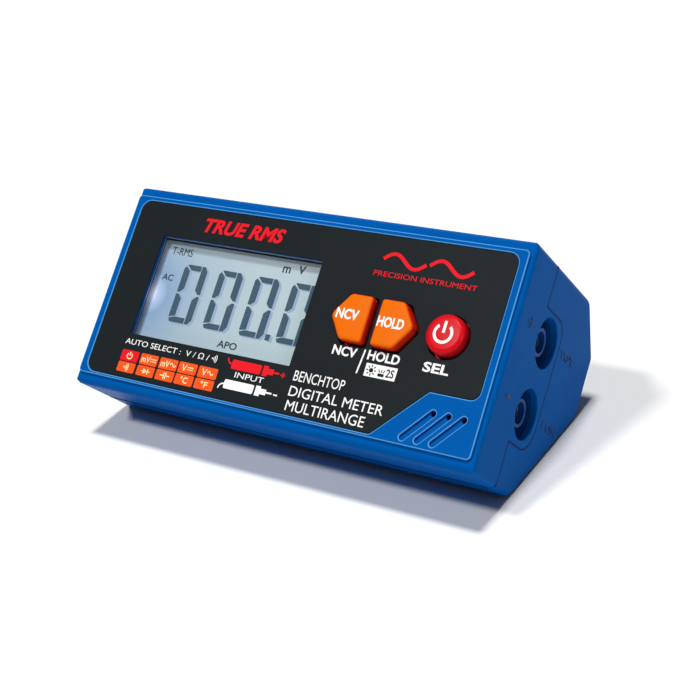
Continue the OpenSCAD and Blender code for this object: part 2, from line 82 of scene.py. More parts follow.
JACK_MIDDLE = (UPPER_JACK + LOWER_JACK) / 2
PANEL_ORIGIN = (JACK_MIDDLE - ALONG * JACK_MIDDLE.x
                - UP_SLOPE * JACK_UP * MM + OUTWARD * JACK_DEEP * MM)
PANEL = frame_matrix(ALONG, UP_SLOPE, OUTWARD, PANEL_ORIGIN)
CASE = Matrix.Scale(MM, 4)
END_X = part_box("front_casing")[1].x
END_MM = END_X / MM
END_FACE = frame_matrix(-OUTWARD, UP_SLOPE, ALONG, PANEL_ORIGIN + ALONG * END_X)

# Heights in the panel frame
FILM_TOP = -0.1
INK_SINK = 0.01
INK_THICK = 0.03
SECOND_COAT = 0.02
LABEL_THICK = 0.05
GLASS_TOP = -3.3
LENS_TOP = -1.5
KEY_FOOT = -4.4
FLANGE_TOP = -3.35
STEM_END = -6.0
SLOT_DEPTH = 0.8
SEAM_N = -16.4

# Places across and up the panel: window as left, low, right, high
PANEL_HALF = 61.5
CHIN_U = -3.0
TOP_U = 56.0
WINDOW = (-48.3, 13.5, 5.0, 42.9)

# Tolerances for merging the frame's meshes, in metres, and made shapes, in millimetres
CAD_MERGE = 2e-6
MERGE = 1e-5
FLAT_ANGLE = radians(0.5)
SHARP = radians(32)


# Materials


def shade(*rgb):
    """Linear colour of a display colour given as 0 to 255"""
    return tuple(((c / 255 + 0.055) / 1.055) ** 2.4 if c > 10 else c / 3294.6 for c in rgb) + (1.0,)


WHITE = (1.0, 1.0, 1.0, 1.0)
BLACK = (0.0, 0.0, 0.0, 1.0)
TARNISH = (0.08, 0.06, 0.04, 1.0)
DRIFT_SIZE = 18
GLOSS_SPREAD = 0.07


def blend_colours(colour, other, share):
    """A colour part of the way to another"""
    return tuple(a + (b - a) * share for a, b in zip(colour, other))


class Finish:
    """A material being made: its node tree, its shader and the object's own coordinates"""

    def __init__(self, name, **inputs):
        self.material = bpy.data.materials.new(name)
        self.material.use_nodes = True
        self.tree = self.material.node_tree
        self.shader = self.tree.nodes["Principled BSDF"]
        for socket, value in inputs.items():
            self.shader.inputs[socket.replace("_", " ")].default_value = value
        self.place = self.node("TexCoord").outputs["Object"]

    def node(self, kind, **inputs):
        """A new shader node with its named inputs set"""
        made = self.tree.nodes.new("ShaderNode" + kind)
        for name, value in inputs.items():
            made.inputs[name.replace("_", " ")].default_value = value
        return made

    def feed(self, **outputs):
        """Links values to the shader's named sockets"""
        for socket, output in outputs.items():
            self.tree.links.new(output, self.shader.inputs[socket.replace("_", " ")])

    def noise(self, size_mm, detail=2.0, rough=0.5, place=None):
        """Noise of a given grain size"""
        made = self.node("TexNoise", Scale=1 / (size_mm * MM), Detail=detail, Roughness=rough)
        self.tree.links.new(place or self.place, made.inputs["Vector"])
        return made.outputs["Fac"]

    def ramp(self, factor, *stops):
        """Colour ramp through (position, colour) stops"""
        made = self.node("ValToRGB")
        self.tree.links.new(factor, made.inputs["Fac"])
        elements = made.color_ramp.elements
        while len(elements) < len(stops):
            elements.new(0.5)
        for element, (position, colour) in zip(elements, stops):
            element.position = position
            element.color = colour
        return made.outputs["Color"]

    def remap(self, value, low, high, to_low, to_high):
        """A value carried from one range to another"""
        made = self.node("MapRange", From_Min=low, From_Max=high, To_Min=to_low, To_Max=to_high)
        self.tree.links.new(value, made.inputs["Value"])
        return made.outputs["Result"]

    def bump(self, height, depth_mm):
        """Fine relief of a given depth"""
        made = self.node("Bump", Strength=1.0, Distance=depth_mm * MM)
        self.tree.links.new(height, made.inputs["Height"])
        self.feed(Normal=made.outputs["Normal"])

    def vector(self, operation, value):
        """The object coordinates put through a vector operation with a fixed vector"""
        made = self.node("VectorMath")
        made.operation = operation
        self.tree.links.new(self.place, made.inputs[0])
        made.inputs[1].default_value = value
        return made.outputs["Value"]

    def along(self, axis, origin=Vector((0, 0, 0))):
        """Distance in millimetres along an axis from a point"""
        shift = self.node("Math")
        shift.operation = "SUBTRACT"
        self.tree.links.new(self.vector("DOT_PRODUCT", tuple(axis / MM)), shift.inputs[0])
        shift.inputs[1].default_value = axis.dot(origin) / MM
        return shift.outputs["Value"]


def moulded(name, colour, roughness=0.4, grain=0.35, depth=0.012, drift=0.12, **inputs):
    """Moulded plastic: spark-eroded grain, slow drift of colour and patches of gloss"""
    made = Finish(name, **inputs)
    darker = blend_colours(colour, BLACK, drift)
    lighter = tuple(min(1.0, c * (1 + drift / 2)) for c in colour[:3]) + (1.0,)
    fine = made.noise(grain, detail=3, rough=0.6)
    made.feed(Base_Color=made.ramp(made.noise(DRIFT_SIZE, detail=3), (0.3, darker), (0.7, lighter)),
              Roughness=made.remap(fine, 0.3, 0.7, roughness - GLOSS_SPREAD,
                                   roughness + GLOSS_SPREAD))
    made.bump(fine, depth)
    return made.material


def case_plastic(name, colour, reflection):
    """The case's blue plastic with its coarse sparkling grain"""
    return moulded(name, colour, roughness=0.3, grain=0.4, depth=0.07, drift=0.05,
                   Specular_IOR_Level=reflection)


def metal(name, colour, roughness):
    """Plated metal with drawn marks along one direction and dull patches"""
    made = Finish(name, Metallic=1.0)
    stretch = made.node("Mapping")
    stretch.inputs["Scale"].default_value = (1, 30, 30)
    made.tree.links.new(made.place, stretch.inputs["Vector"])
    marks = made.noise(3, detail=4, place=stretch.outputs["Vector"])
    tarnished = blend_colours(colour, TARNISH, 0.3)
    made.feed(Base_Color=made.ramp(made.noise(2.5, detail=3), (0.3, tarnished), (0.55, colour)),
              Roughness=made.remap(marks, 0.3, 0.7, roughness - 0.08, roughness + 0.12))
    made.bump(marks, 0.004)
    return made.material


# Shapes


def flat_face(points, level=0.0):
    """A bmesh with one flat face through (x, y) points"""
    bm = bmesh.new()
    bm.faces.new([bm.verts.new((x, y, level)) for x, y in points])
    return bm


def round_corners(bm, radii, segments=6):
    """Rounds the corners of a single flat face, one radius for each"""
    corners = [(vert, radius) for vert, radius in zip(list(bm.verts), radii) if radius > 0]
    for vert, radius in corners:
        half = vert.link_loops[0].calc_angle() / 2
        bmesh.ops.bevel(bm, geom=[vert], offset=radius / tan(half), offset_type="OFFSET",
                        segments=segments, profile=0.5, affect="VERTICES", material=-1,
                        clamp_overlap=True)


def raise_faces(bm, faces, height):
    """Extrudes faces along Z"""
    made = bmesh.ops.extrude_face_region(bm, geom=faces)["geom"]
    verts = [item for item in made if isinstance(item, bmesh.types.BMVert)]
    bmesh.ops.translate(bm, vec=(0, 0, height), verts=verts)


def slab(points, low, high, radii=None, segments=6):
    """A flat outline with rounded corners, extruded between two heights"""
    bm = flat_face(points, low)
    if radii:
        round_corners(bm, radii, segments)
    raise_faces(bm, list(bm.faces), high - low)
    bmesh.ops.recalc_face_normals(bm, faces=bm.faces)
    return bm


def block(left, low_y, right, high_y, low, high, radius=0.0):
    """A rectangle between two heights, its corners rounded if a radius is given"""
    corners = ((left, low_y), (right, low_y), (right, high_y), (left, high_y))
    return slab(corners, low, high, [radius] * 4 if radius else None, 4)


def bar(start, end, width, low, high):
    """A straight stroke between two points"""
    start, end = Vector(start), Vector(end)
    side = (end - start).orthogonal().normalized() * width / 2
    return slab((start - side, end - side, end + side, start + side), low, high)


def arc_bar(centre, radius, width, start, sweep, low, high, steps=24):
    """A curved stroke: a small rectangle spun about its centre"""
    bm = bmesh.new()
    inner = radius - width / 2
    outer = radius + width / 2
    corners = ((inner, low), (outer, low), (outer, high), (inner, high))
    ring = [bm.verts.new((r, 0, z)) for r, z in corners]
    face = bm.faces.new(ring)
    turn = Matrix.Rotation(radians(start), 3, "Z")
    bmesh.ops.rotate(bm, verts=ring, cent=(0, 0, 0), matrix=turn)
    bmesh.ops.spin(bm, geom=[face], cent=(0, 0, 0), axis=(0, 0, 1), angle=radians(sweep),
                   steps=steps, use_merge=False)
    bmesh.ops.translate(bm, verts=bm.verts, vec=(centre[0], centre[1], 0))
    bmesh.ops.recalc_face_normals(bm, faces=bm.faces)
    return bm


def disc(centre, radius, low, high, segments=32):
    """An upright round plug between two heights"""
    bm = bmesh.new()
    bmesh.ops.create_cone(bm, cap_ends=True, segments=segments, radius1=radius, radius2=radius,
                          depth=high - low)
    bmesh.ops.translate(bm, verts=bm.verts, vec=(centre[0], centre[1], (low + high) / 2))
    return bm


def letters(text, box, low, thick, weight=0.0, slant=0.0):
    """Text fitted to a box (left, low, right, high) and given a little thickness"""
    curve = bpy.data.curves.new("letters", "FONT")
    curve.body = text
    curve.offset = weight
    curve.shear = slant
    curve.resolution_u = 3
    holder = bpy.data.objects.new("letters", curve)
    bpy.context.scene.collection.objects.link(holder)
    bpy.context.view_layer.update()
    mesh = bpy.data.meshes.new_from_object(holder)
    bm = bmesh.new()
    bm.from_mesh(mesh)
    bpy.data.objects.remove(holder)
    bpy.data.curves.remove(curve)
    bpy.data.meshes.remove(mesh)
    bmesh.ops.remove_doubles(bm, verts=bm.verts, dist=MERGE)
    across = [vert.co.x for vert in bm.verts]
    up = [vert.co.y for vert in bm.verts]
    scale = ((box[2] - box[0]) / (max(across) - min(across)),
             (box[3] - box[1]) / (max(up) - min(up)), 1)
    bmesh.ops.translate(bm, verts=bm.verts, vec=(-min(across), -min(up), 0))
    bmesh.ops.scale(bm, verts=bm.verts, vec=scale)
    bmesh.ops.translate(bm, verts=bm.verts, vec=(box[0], box[1], low))
    raise_faces(bm, list(bm.faces), thick)
    bmesh.ops.recalc_face_normals(bm, faces=bm.faces)
    return bm


def lathe(profile, segments=64):
    """A turned shape about the X axis from a closed profile of (along, radius) points"""
    bm = bmesh.new()
    verts = [bm.verts.new((x, 0, r)) for x, r in profile]
    edges = [bm.edges.new((verts[i - 1], verts[i])) for i in range(len(verts))
             if profile[i - 1][1] > 0 or profile[i][1] > 0]
    bmesh.ops.spin(bm, geom=verts + edges, cent=(0, 0, 0), axis=(1, 0, 0), angle=TURN,
                   steps=segments, use_merge=True)
    bmesh.ops.remove_doubles(bm, verts=bm.verts, dist=MERGE)
    bmesh.ops.recalc_face_normals(bm, faces=bm.faces)
    return bm


def merged(*parts):
    """Joins several bmeshes into the first"""
    whole = parts[0]
    for part in parts[1:]:
        mesh = bpy.data.meshes.new("part")
        part.to_mesh(mesh)
        part.free()
        whole.from_mesh(mesh)
        bpy.data.meshes.remove(mesh)
    return whole


def moved(bm, matrix):
    """The same bmesh, carried by a matrix"""
    bmesh.ops.transform(bm, matrix=matrix, verts=bm.verts)
    return bm


def cad_shape(name):
    """A merged copy of a CAD node's mesh, its flat sides made whole"""
    bm = bmesh.new()
    bm.from_mesh(frame["nodes"][name].data)
    bmesh.ops.remove_doubles(bm, verts=bm.verts, dist=CAD_MERGE)
    bmesh.ops.dissolve_degenerate(bm, edges=bm.edges, dist=CAD_MERGE)
    bmesh.ops.dissolve_limit(bm, angle_limit=FLAT_ANGLE, verts=bm.verts, edges=bm.edges)
    return bm


def soften(bm, width, segments=3, sharp=36):
    """Bevels a copy's outward edges in the panel frame and marks the raised panel's for a painted
    highlight
    """
    bmesh.ops.transform(bm, matrix=PANEL.inverted(), verts=bm.verts)
    painted_highlight = bm.faces.layers.float.new("painted_highlight")

    def in_slot_floor(edge):
        """Rims of the holes in the slots stay sharp"""
        return all(abs(vert.co.z + SLOT_DEPTH) < 0.02 for vert in edge.verts)

    outward = [edge for edge in bm.edges
               if edge.calc_face_angle_signed(0) > radians(sharp) and not in_slot_floor(edge)]
    softened = bmesh.ops.bevel(bm, geom=outward, offset=width, offset_type="OFFSET",
                               segments=segments, profile=0.5, affect="EDGES", material=-1,
                               clamp_overlap=False)["faces"]
    # The marked faces on the raised panel's edges get a painted highlight
    for face in softened:
        if face.calc_center_median().z > -width:
            face[painted_highlight] = 1.0
    return bm


def piece(bm, name, material, stands_for=(), body=CASE_BODY, place=None, edge=0.0,
          segments=2, clamp=False, weighted=False):
    """Makes a bmesh an object with its finish, softened edges and the body it rides on"""
    if place is not None:
        moved(bm, place)
    mesh = bpy.data.meshes.new(name)
    bm.to_mesh(mesh)
    bm.free()
    for layer in list(mesh.uv_layers):
        mesh.uv_layers.remove(layer)
    mesh.materials.clear()
    mesh.materials.append(material)
    mesh.shade_smooth()
    mesh.set_sharp_from_angle(angle=SHARP)
    made = bpy.data.objects.new(name, mesh)
    bpy.context.scene.collection.objects.link(made)
    if edge:
        softened = made.modifiers.new("softened edges", "BEVEL")
        softened.width = edge * MM
        softened.segments = segments
        softened.limit_method = "ANGLE"
        softened.angle_limit = SHARP
        softened.use_clamp_overlap = clamp
        softened.harden_normals = True
    if weighted:
        evened = made.modifiers.new("even shading", "WEIGHTED_NORMAL")
        evened.keep_sharp = True
    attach(made, body)
    if stands_for:
        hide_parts(*stands_for)
    return made


# Settings


def colour_setting(name, description, default):
    """A colour with its swatch"""
    return FloatVectorProperty(name=name, description=description, subtype="COLOR", size=4, min=0,
                               max=1, default=default)


def length_setting(name, description, millimetres):
    """A length given in millimetres"""
    return FloatProperty(name=name, description=description, default=millimetres * MM, min=0,
                         unit="LENGTH", subtype="DISTANCE", precision=5)


def strength_setting(name, description, default):
    """How strong a light is"""
    return FloatProperty(name=name, description=description, default=default, min=0)


class CaseSettings(bpy.types.PropertyGroup):
    """Shells, feet and the marks beside the jacks"""
    colour: colour_setting("Case colour", "Blue of both shells", shade(0, 85, 162))
    # Edge colour: a painted highlight on the raised panel's edges
    painted_highlight_colour: colour_setting("Edge sheen", "Highlight painted along the raised panel's edges", shade(84, 156, 218))
    # Darker than the case: the shrouds' own blue, with painted shade of the jack recesses
    jack_colour: colour_setting("Jack colour", "Blue of the jack shrouds", shade(6, 66, 136))
    edge: length_setting("Shell edge", "Softening of the shells' edges", 0.25)
    mark_height: length_setting("Mark height", "How far the marks beside the jacks stand out", 0.15)


class PanelSettings(bpy.types.PropertyGroup):
    """Film on the panel and what is printed on it"""
    film: colour_setting("Film", "Charcoal of the film", shade(28, 33, 36))
    white: colour_setting("White ink", "White lettering", shade(238, 238, 236))
    red: colour_setting("Red ink", "Red lettering and the positive probe", shade(226, 24, 36))
    orange: colour_setting("Orange ink", "Boxes of the measuring ranges", shade(236, 84, 26))


class DisplaySettings(bpy.types.PropertyGroup):
    """Liquid crystal display"""
    light: colour_setting("Lit colour", "Middle of the lit display", shade(164, 181, 187))
    cool: colour_setting("Cool end", "Left end of the lit display", shade(122, 150, 180))
    segment: colour_setting("Segments", "Dark segments", shade(48, 78, 94))
    digits: IntProperty(name="Digits", description="How many digits the display has", default=4,
                        min=1, max=4)
    digit_width: length_setting("Digit width", "Width of one digit", 8.0)
    digit_height: length_setting("Digit height", "Height of one digit", 17.0)
    digit_step: length_setting("Digit step", "Distance from one digit to the next", 12.1)


class KeySettings(bpy.types.PropertyGroup):
    """Push keys"""
    top: colour_setting("Key top", "Orange of the two key tops", shade(228, 104, 0))
    # The redder side colour is painted shade on the keys' sides
    side: colour_setting("Key side", "Redder orange of the keys' sides", shade(222, 40, 12))
    select: colour_setting("Select key", "Red of the round key", shade(212, 12, 28))
    rounding: length_setting("Key rounding", "Rounding of the key tops", 0.85)


class StudioSettings(bpy.types.PropertyGroup):
    """Camera, lamps and floor"""
    lens: FloatProperty(name="Lens", description="Focal length in millimetres", default=71.58,
                        min=10)
    roll: FloatProperty(name="Roll", description="Roll of the camera", subtype="ANGLE",
                        default=radians(-6.67))
    place: FloatVectorProperty(name="Camera place", description="Where the camera stands",
                               subtype="TRANSLATION", default=(0.19857, -0.27696, 0.19928))
    aim: FloatVectorProperty(name="Camera aim", description="Point the camera looks at",
                             subtype="TRANSLATION", default=(0.01738, -0.01461, 0.03211))
    side_lamp: strength_setting("Side lamp", "Strength of the lamp from the front left", 1.35)
    top_lamp: strength_setting("Top lamp", "Strength of the lamp overhead", 2.3)
    back_lamp: strength_setting("Back lamp", "Strength of the low lamp behind", 0.9)
    end_lamp: strength_setting("End lamp", "Strength of the low lamp at the right end", 0.5)
    sky: strength_setting("Sky", "Strength of the even light all round", 0.06)
    floor: colour_setting("Floor", "Pale floor", (0.92, 0.92, 0.92, 1))


# Shells


class MULTIMETER_OT_shells(bpy.types.Operator):
    """Front and rear shells with softened edges and a moulded grain"""
    bl_idname = "multimeter.shells"
    bl_label = "Shells"

    line_width = 0.5
    line_rise = 0.015
    tongue = (9.5, 45.0, 31.0)
    tongue_radii = (7.0, 4.8)

    def execute(self, context):
        case = context.scene.multimeter_case
        blue = case_plastic("blue shell plastic", tuple(case.colour), 0.008)
        # Painted highlight on the raised panel's edges
        self.paint_edge_highlights(blue, tuple(case.painted_highlight_colour))
        for shell in ("front_casing", "rear_casing"):
            bm = soften(cad_shape(shell), case.edge / MM)
            piece(bm, shell.replace("casing", "shell"), blue, (shell,), place=PANEL,
                  weighted=True)
        # Dark strips along the seams: painted shade of the gap between the shells
        line = moulded("seam shade", shade(5, 38, 84), roughness=0.6, Specular_IOR_Level=0.05)
        reach = END_MM - 1.7
        chin_line = block(-reach, CHIN_U - 0.12, reach, CHIN_U + 0.3, SEAM_N - 0.1, SEAM_N)
        piece(chin_line, "seam_line", line, place=PANEL)
        piece(self.end_seam(), "end_seam", line, place=END_FACE)
        return {"FINISHED"}

    def end_seam(self):
        """Painted shade along the parting line across the right end, round the tongue that carries
        the jacks
        """
        width, low, high = self.line_width, -0.1, self.line_rise
        bottom, top, far = self.tongue
        lower_r, upper_r = self.tongue_radii
        near = -SEAM_N
        return merged(
            bar((near, CHIN_U + 0.5), (near, bottom + width / 2), width, low, high),
            bar((near, bottom), (far - lower_r, bottom), width, low, high),
            arc_bar((far - lower_r, bottom + lower_r), lower_r, width, -90, 90, low, high),
            bar((far, bottom + lower_r), (far, top - upper_r), width, low, high),
            arc_bar((far - upper_r, top - upper_r), upper_r, width, 0, 90, low, high),
            bar((far - upper_r, top), (near, top), width, low, high),
            bar((near, top - width / 2), (near, TOP_U), width, low, high),
        )

    def paint_edge_highlights(self, material, painted_highlight_colour):
        """Lightens the marked faces along the raised panel's edges with a painted highlight colour
        """
        tree = material.node_tree
        base = tree.nodes["Principled BSDF"].inputs["Base Color"]
        mark = tree.nodes.new("ShaderNodeAttribute")
        mark.attribute_name = "painted_highlight"
        mix = tree.nodes.new("ShaderNodeMix")
        mix.data_type = "RGBA"
        tree.links.new(mark.outputs["Fac"], mix.inputs["Factor"])
        tree.links.new(base.links[0].from_socket, mix.inputs["A"])
        mix.inputs["B"].default_value = painted_highlight_colour
        tree.links.new(mix.outputs["Result"], base)


class MULTIMETER_OT_end_marks(bpy.types.Operator):
    """Raised polarity and function marks beside the jacks"""
    bl_idname = "multimeter.end_marks"
    bl_label = "End marks"

    def execute(self, context):
        case = context.scene.multimeter_case
        high = case.mark_height / MM
        low = -0.1
        # The marks are a darker blue than the case: painted shade so the raised marks stand out
        blue = moulded("mark plastic with painted shade", shade(16, 52, 108), roughness=0.5, Specular_IOR_Level=0.2)
        thin = 0.55
        plus = merged(bar((8.0, 38.4), (11.0, 38.4), thin, low, high),
                      bar((9.5, 39.9), (9.5, 36.9), thin, low, high))
        minus = bar((7.2, 18.8), (10.2, 18.8), 0.9, low, high)
        words = [letters(text, box, low, high - low, weight=-0.005)
                 for text, box in (("VΩ°C", (33.2, 36.9, 43.9, 39.2)),
                                   ("COM", (33.4, 17.6, 43.3, 19.9)))]
        piece(merged(plus, minus, *words), "end_marks", blue, place=END_FACE)
        return {"FINISHED"}


# Film


def ink(name, colour):
    """Screen-printed ink: slightly raised, faintly mottled"""
    return moulded(name, colour, roughness=0.5, grain=0.12, depth=0.003, drift=0.04,
                   Specular_IOR_Level=0.06)


def from_left(x, y):
    """A point given from the panel's left edge"""
    return (x - PANEL_HALF, y)


def box_from_left(left, low_u, right, high_u):
    """A box given from the panel's left edge"""
    return (left - PANEL_HALF, low_u, right - PANEL_HALF, high_u)


def power_mark(centre, radius, width, low, high):
    """Open ring with a bar through its gap"""
    x, y = centre
    return merged(arc_bar(centre, radius, width, 130, 280, low, high),
                  bar((x, y + radius * 1.35), (x, y + radius * 0.05), width, low, high))


def wave(start, length, height, width, low, high, steps=10):
    """One period of a sine wave as a stroke"""
    points = [Vector((start[0] + length * i / steps, start[1] + height * sin(TURN * i / steps)))
              for i in range(steps + 1)]
    return merged(*[bar(a, b, width, low, high) for a, b in zip(points, points[1:])])


def direct_mark(x, y, length, width, low, high):
    """Direct voltage: a full line over a broken one"""
    dash = length / 4
    up = width * 1.2
    upper = bar((x, y + up), (x + length, y + up), width, low, high)
    starts = [x + k * 1.5 * dash for k in range(3)]
    dashes = [bar((start, y - up), (start + dash, y - up), width, low, high) for start in starts]
    return merged(upper, *dashes)


def sound_mark(centre, size, width, low, high):
    """Three growing arcs after a dot"""
    arcs = [arc_bar(centre, size * k / 3, width, -45, 90, low, high, 8) for k in (1, 2, 3)]
    return merged(disc(centre, width * 0.9, low, high, 12), *arcs)


def diode_mark(centre, size, width, low, high):
    """An arrow against a bar"""
    x, y = centre
    half = size / 2
    arrow = slab(((x - half, y - half), (x + half, y), (x - half, y + half)), low, high)
    stop = bar((x + half, y - half), (x + half, y + half), width, low, high)
    line = bar((x - size, y), (x + size, y), width * 0.7, low, high)
    return merged(arrow, stop, line)


def capacitor_mark(centre, size, width, low, high):
    """Two plates with their wires"""
    x, y = centre
    sides = (-1, 1)
    plates = [bar((x + s * width, y - size / 2), (x + s * width, y + size / 2), width, low, high)
              for s in sides]
    wires = [bar((x + s * width, y), (x + s * size * 0.9, y), width, low, high) for s in sides]
    return merged(*plates, *wires)


def probe_mark(box, turn, low, high):
    """A test probe: barrel, collar, tip and the end of its lead"""
    left, low_u, right, high_u = box
    mid = (low_u + high_u) / 2
    half = (high_u - low_u) / 2

    def part(share):
        """A place along the probe"""
        return left + share * (right - left)

    barrel = block(left, low_u, part(0.62), high_u, low, high, half * 0.35)
    collar = block(part(0.66), low_u - 0.1, part(0.76), high_u + 0.1, low, high)
    front = block(part(0.76), mid - half * 0.6, part(0.88), mid + half * 0.6, low, high)
    tip = bar((part(0.88), mid), (right, mid), 0.45, low, high)
    lead = arc_bar((left, mid - turn * 1.5), 1.5, 0.4, 90 if turn > 0 else 180, 90, low, high, 10)
    return merged(barrel, collar, front, tip, lead)


class MULTIMETER_OT_film(bpy.types.Operator):
    """Charcoal film on the panel"""
    bl_idname = "multimeter.film"
    bl_label = "Film"

    def execute(self, context):
        colour = tuple(context.scene.multimeter_panel.film)
        satin = moulded("charcoal film", colour, roughness=0.4, grain=0.2, depth=0.004, drift=0.06,
                        Specular_IOR_Level=0.04)
        piece(cad_shape("front_overlay"), "panel_film", satin, ("front_overlay",),
              edge=0.08)
        return {"FINISHED"}


class MULTIMETER_OT_film_print(bpy.types.Operator):
    """Lettering and symbols printed on the film"""
    bl_idname = "multimeter.film_print"
    bl_label = "Film print"

    low = FILM_TOP - INK_SINK
    high = FILM_TOP + INK_THICK
    over = (high - INK_SINK, high + SECOND_COAT)
    columns = ((12.7, 18.7), (19.5, 25.5), (26.2, 32.3), (32.8, 38.9), (39.5, 45.7))
    rows = ((5.6, 8.7), (2.4, 5.3))
    box_radius = 0.4
    heavy = 0.03

    def execute(self, context):
        panel = context.scene.multimeter_panel
        prints = (
            ("white", self.white_marks(), tuple(panel.white)),
            ("red", self.red_marks(), tuple(panel.red)),
            ("orange", self.range_boxes(), tuple(panel.orange)),
            ("symbol", self.range_symbols(), shade(255, 226, 170)),
            ("dark", self.backlight_marks(), tuple(panel.film)),
        )
        for name, marks, colour in prints:
            piece(merged(*marks), name + "_print", ink(name + " ink", colour),
                  place=PANEL)
        return {"FINISHED"}

    def words(self, text, box, weight=0.0, slant=0.0):
        """Text in a box given from the panel's left edge"""
        return letters(text, box_from_left(*box), self.low, self.high - self.low, weight, slant)

    def stroke(self, start, end, width):
        """A line between two points given from the panel's left edge"""
        return bar(from_left(*start), from_left(*end), width, self.low, self.high)

    def white_marks(self):
        """Names of the keys and functions, and the lower probe"""
        low, high = self.low, self.high
        return [
            self.words("AUTO SELECT :  V / Ω /", (12.6, 10.4, 41.5, 12.1)),
            sound_mark(from_left(42.6, 11.3), 1.5, 0.22, low, high),
            self.words("NCV", (77.6, 18.9, 84.8, 21.5), self.heavy),
            self.words("HOLD", (88.0, 19.2, 97.2, 21.8), self.heavy),
            self.words("SEL", (103.9, 19.0, 111.1, 21.6), self.heavy),
            self.stroke((86.9, 21.6), (86.3, 15.2), 0.45),
            self.words("BENCHTOP", (68.9, 10.0, 84.2, 12.8)),
            self.words("DIGITAL METER", (68.9, 5.9, 96.9, 8.6)),
            self.words("MULTIRANGE", (69.2, 2.0, 92.7, 4.8)),
            self.words("INPUT", (51.2, 7.5, 60.4, 9.0)),
            probe_mark(box_from_left(48.7, 4.1, 64.0, 6.6), 1, low, high),
            self.stroke((64.6, 5.2), (65.8, 5.2), 0.4),
            block(*box_from_left(88.4, 15.0, 97.4, 18.4), low, high),
        ]

    def red_marks(self):
        """Heading, upper probe, first range box and the two-wave emblem with its line"""
        low, high = self.low, self.high
        waves = [wave(from_left(x, 46.0), 12.5, 1.7, 1.0, low, high, 16) for x in (84.0, 97.5)]
        return [
            self.words("TRUE RMS", (25.8, 45.6, 52.6, 49.8), 0.035, 0.25),
            probe_mark(box_from_left(49.2, 9.6, 64.4, 12.2), -1, low, high),
            self.stroke((64.9, 10.7), (66.3, 10.7), 0.4),
            self.stroke((65.6, 10.0), (65.6, 11.4), 0.4),
            self.range_box(0, 0),
            *waves,
            self.words("PRECISION INSTRUMENT", (82.4, 41.3, 112.0, 42.7)),
        ]

    def range_box(self, i, j):
        """The box in a column and row of the measuring ranges"""
        left, right = self.columns[i]
        bottom, top = self.rows[j]
        box = box_from_left(left, bottom, right, top)
        return block(*box, self.low, self.high, self.box_radius)

    def range_boxes(self):
        """All range boxes but the first"""
        return [self.range_box(i, j) for j in range(len(self.rows))
                for i in range(len(self.columns)) if i or j]

    def middle(self, i, j):
        """Middle of a range box"""
        return from_left(sum(self.columns[i]) / 2, sum(self.rows[j]) / 2)

    def range_symbols(self):
        """Symbols of the ten ranges"""
        low, high = self.over
        thin = 0.26
        symbols = [power_mark(self.middle(0, 0), 0.85, 0.3, low, high)]
        for i, text, start, wide in ((1, "mV", -2.5, 2.9), (2, "mV", -2.5, 2.9),
                                     (3, "V", -1.9, 1.6), (4, "V", -1.9, 1.6)):
            x, y = self.middle(i, 0)
            left = x + start
            box = (left, y - 0.95, left + wide, y + 0.95)
            symbols.append(letters(text, box, low, INK_THICK, 0.008))
            after = left + wide + 0.25
            if i % 2:
                symbols.append(direct_mark(after, y, 1.9, thin, low, high))
            else:
                symbols.append(wave((after, y), 1.9, 0.5, 0.3, low, high, 8))
        x, y = self.middle(0, 1)
        symbols.append(sound_mark((x - 0.8, y), 1.5, thin, low, high))
        symbols.append(diode_mark(self.middle(1, 1), 1.5, 0.32, low, high))
        symbols.append(capacitor_mark(self.middle(2, 1), 1.8, 0.3, low, high))
        for i, text in ((3, "°C"), (4, "°F")):
            x, y = self.middle(i, 1)
            box = (x - 1.2, y - 0.9, x + 1.2, y + 0.9)
            symbols.append(letters(text, box, low, INK_THICK, 0.008))
        return symbols

    def backlight_marks(self):
        """Sun, lamp and hold time on the white box under HOLD"""
        low, high = self.over
        x, y = from_left(90.2, 16.7)
        angles = [TURN * k / 8 for k in range(8)]
        rays = [bar((x + 0.85 * cos(a), y + 0.85 * sin(a)), (x + 1.45 * cos(a), y + 1.45 * sin(a)),
                    0.3, low, high) for a in angles]
        lamp = x + 3.0
        beams = [bar((lamp + 0.5 * k, y - 0.2), (lamp + 0.9 * k, y + 0.6), 0.25, low, high)
                 for k in (-1, 0, 1)]
        return [
            disc((x, y), 0.6, low, high, 20),
            *rays,
            block(x + 2.1, y - 1.2, x + 3.9, y - 0.4, low, high, 0.2),
            *beams,
            letters("2S", (x + 4.3, y - 1.1, x + 6.6, y + 1.1), low, INK_THICK, 0.02),
        ]


# Display


